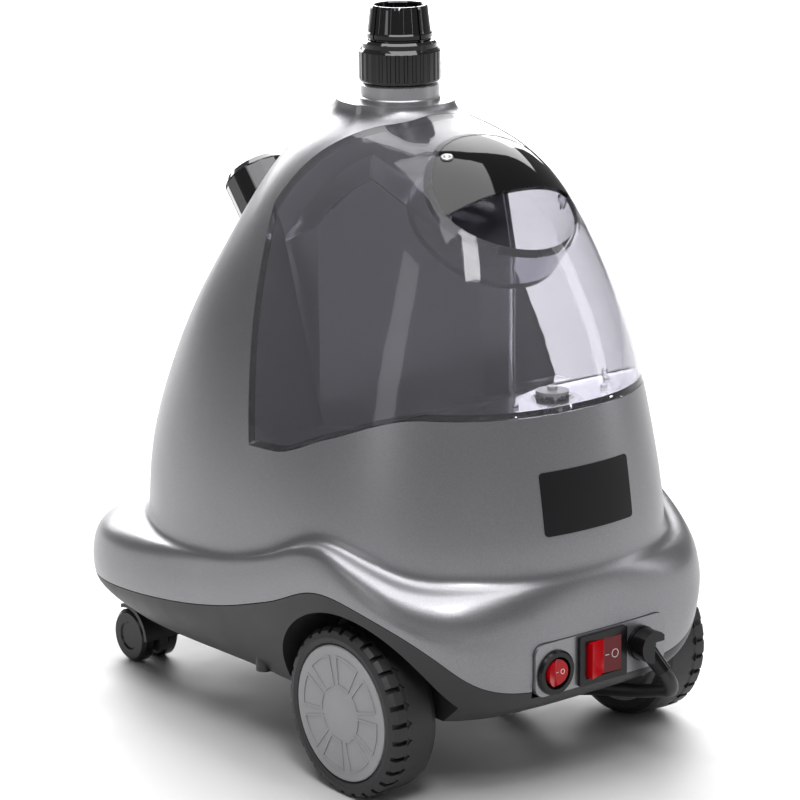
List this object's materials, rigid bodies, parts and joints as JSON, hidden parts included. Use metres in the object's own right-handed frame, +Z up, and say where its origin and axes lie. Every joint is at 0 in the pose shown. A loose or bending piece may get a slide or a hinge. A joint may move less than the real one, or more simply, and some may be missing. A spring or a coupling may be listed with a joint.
{
  "type": "garment steamer",
  "caption": "Upright garment steamer base on wheels: bell-shaped housing, lift-out clear water tank, front steam outlet, top pole socket and rear rocker switches.",
  "frame": {"origin": "on the floor, under the middle of the body's length and width", "axes": "+Z up, +Y towards the front (steam outlet and casters), +X to the right-hand side when facing forwards"},
  "size_m": [0.2603, 0.4593, 0.3752],
  "materials": {
    "shell": "silver metallic paint, satin",
    "dark_base": "satin charcoal",
    "clear_tank": "clear, polished",
    "silver_trim": "bright silver",
    "dark_chrome": "dark chrome plating",
    "black_plastic": "polished black",
    "white_plastic": "moulded",
    "red_plastic": "translucent red",
    "tyre_rubber": "matt",
    "hub_grey": "satin grey",
    "steel": "bright",
    "spring_steel": "bright",
    "boiler_cast": "as cast",
    "soft_seal": "matt",
    "silicone": "translucent",
    "cord_jacket": "satin",
    "label_black": "gloss"
  },
  "bodies": {
    "base_unit": {"pole_socket_tube": "black_plastic", "socket_collar": "silver_trim", "pole_collet": "dark_chrome", "outlet_spigot": "black_plastic", "outlet_seal": "soft_seal", "tank_receiver": "black_plastic", "upper_housing": "shell", "base_tray": "dark_base", "base_screws": "steel", "rear_axle": "steel", "axle_clips": "spring_steel", "control_panel": "shell", "power_switch_body": "black_plastic", "aux_switch_body": "black_plastic", "cord_gland": "black_plastic", "boiler_body": "boiler_cast", "heating_element": "steel", "boiler_gasket": "silicone", "boiler_lid": "boiler_cast", "boiler_lid_screws": "steel", "boiler_posts": "white_plastic", "thermostat": "black_plastic", "thermal_fuse": "white_plastic", "steam_pipe": "silicone", "water_hose": "silicone", "terminal_block": "white_plastic", "power_cord": "cord_jacket", "cord_coil": "cord_jacket", "cord_tie": "black_plastic", "plug_body": "black_plastic", "plug_pins": "steel", "label_plate": "label_black"},
    "tank": {"water_tank": "clear_tank", "grip_visor": "black_plastic"},
    "cap": {"tank_cap": "black_plastic", "cap_seal": "soft_seal", "valve_spring": "spring_steel"},
    "valve": {"valve_plunger": "white_plastic"},
    "clamp_nut": {"clamp_nut": "dark_chrome"},
    "outlet_ring": {"outlet_ring": "dark_chrome"},
    "power_rocker": {"power_rocker": "red_plastic"},
    "aux_rocker": {"aux_rocker": "red_plastic"},
    "wheel_right": {"tyre_right": "tyre_rubber", "hub_right": "hub_grey", "hub_cap_right": "hub_grey"},
    "caster_swivel_right": {"caster_yoke_right": "dark_base"},
    "caster_wheel_right": {"caster_wheels_right": "black_plastic"},
    "wheel_left": {"tyre_left": "tyre_rubber", "hub_left": "hub_grey", "hub_cap_left": "hub_grey"},
    "caster_swivel_left": {"caster_yoke_left": "dark_base"},
    "caster_wheel_left": {"caster_wheels_left": "black_plastic"}
  },
  "joints": [
    {"name": "tank_lift", "type": "slide", "parent": "base_unit", "child": "tank", "axis": [0, 0, 1], "range_m": [0, 0.16]},
    {"name": "cap_turn", "type": "hinge", "parent": "tank", "child": "cap", "pos_m": [0, -0.1323, 0.185], "axis": [0, 0, 1], "range_deg": [0, 360]},
    {"name": "valve_lift", "type": "slide", "parent": "cap", "child": "valve", "axis": [0, 0, 1], "range_m": [0, 0.003], "stiffness_N_per_m": 120, "springref_m": -0.002, "deforming": ["valve_spring"]},
    {"name": "clamp_nut_turn", "type": "hinge", "parent": "base_unit", "child": "clamp_nut", "pos_m": [0, -0.0153, 0.347], "axis": [0, 0, 1], "range_deg": [0, 360]},
    {"name": "outlet_ring_turn", "type": "hinge", "parent": "base_unit", "child": "outlet_ring", "pos_m": [0, 0.0917, 0.2516], "axis": [0, 0.6428, 0.766], "range_deg": [0, 360]},
    {"name": "power_rocker_tilt", "type": "hinge", "parent": "base_unit", "child": "power_rocker", "pos_m": [0, -0.1667, 0.07], "axis": [0, 0, 1], "range_deg": [-14, 0]},
    {"name": "aux_rocker_tilt", "type": "hinge", "parent": "base_unit", "child": "aux_rocker", "pos_m": [-0.03, -0.1672, 0.068], "axis": [0, 0, 1], "range_deg": [-14, 0]},
    {"name": "wheel_right_spin", "type": "hinge", "parent": "base_unit", "child": "wheel_right", "pos_m": [0, -0.0943, 0.0431], "axis": [1, 0, 0], "continuous": true},
    {"name": "caster_right_swivel", "type": "hinge", "parent": "base_unit", "child": "caster_swivel_right", "pos_m": [0.06, 0.1307, 0.04], "axis": [0, 0, 1], "continuous": true},
    {"name": "caster_right_spin", "type": "hinge", "parent": "caster_swivel_right", "child": "caster_wheel_right", "pos_m": [0.06, 0.1397, 0.015], "axis": [1, 0, 0], "continuous": true},
    {"name": "wheel_left_spin", "type": "hinge", "parent": "base_unit", "child": "wheel_left", "pos_m": [0, -0.0943, 0.0431], "axis": [1, 0, 0], "continuous": true},
    {"name": "caster_left_swivel", "type": "hinge", "parent": "base_unit", "child": "caster_swivel_left", "pos_m": [-0.06, 0.1307, 0.04], "axis": [0, 0, 1], "continuous": true},
    {"name": "caster_left_spin", "type": "hinge", "parent": "caster_swivel_left", "child": "caster_wheel_left", "pos_m": [-0.06, 0.1397, 0.015], "axis": [1, 0, 0], "continuous": true}
  ]
}
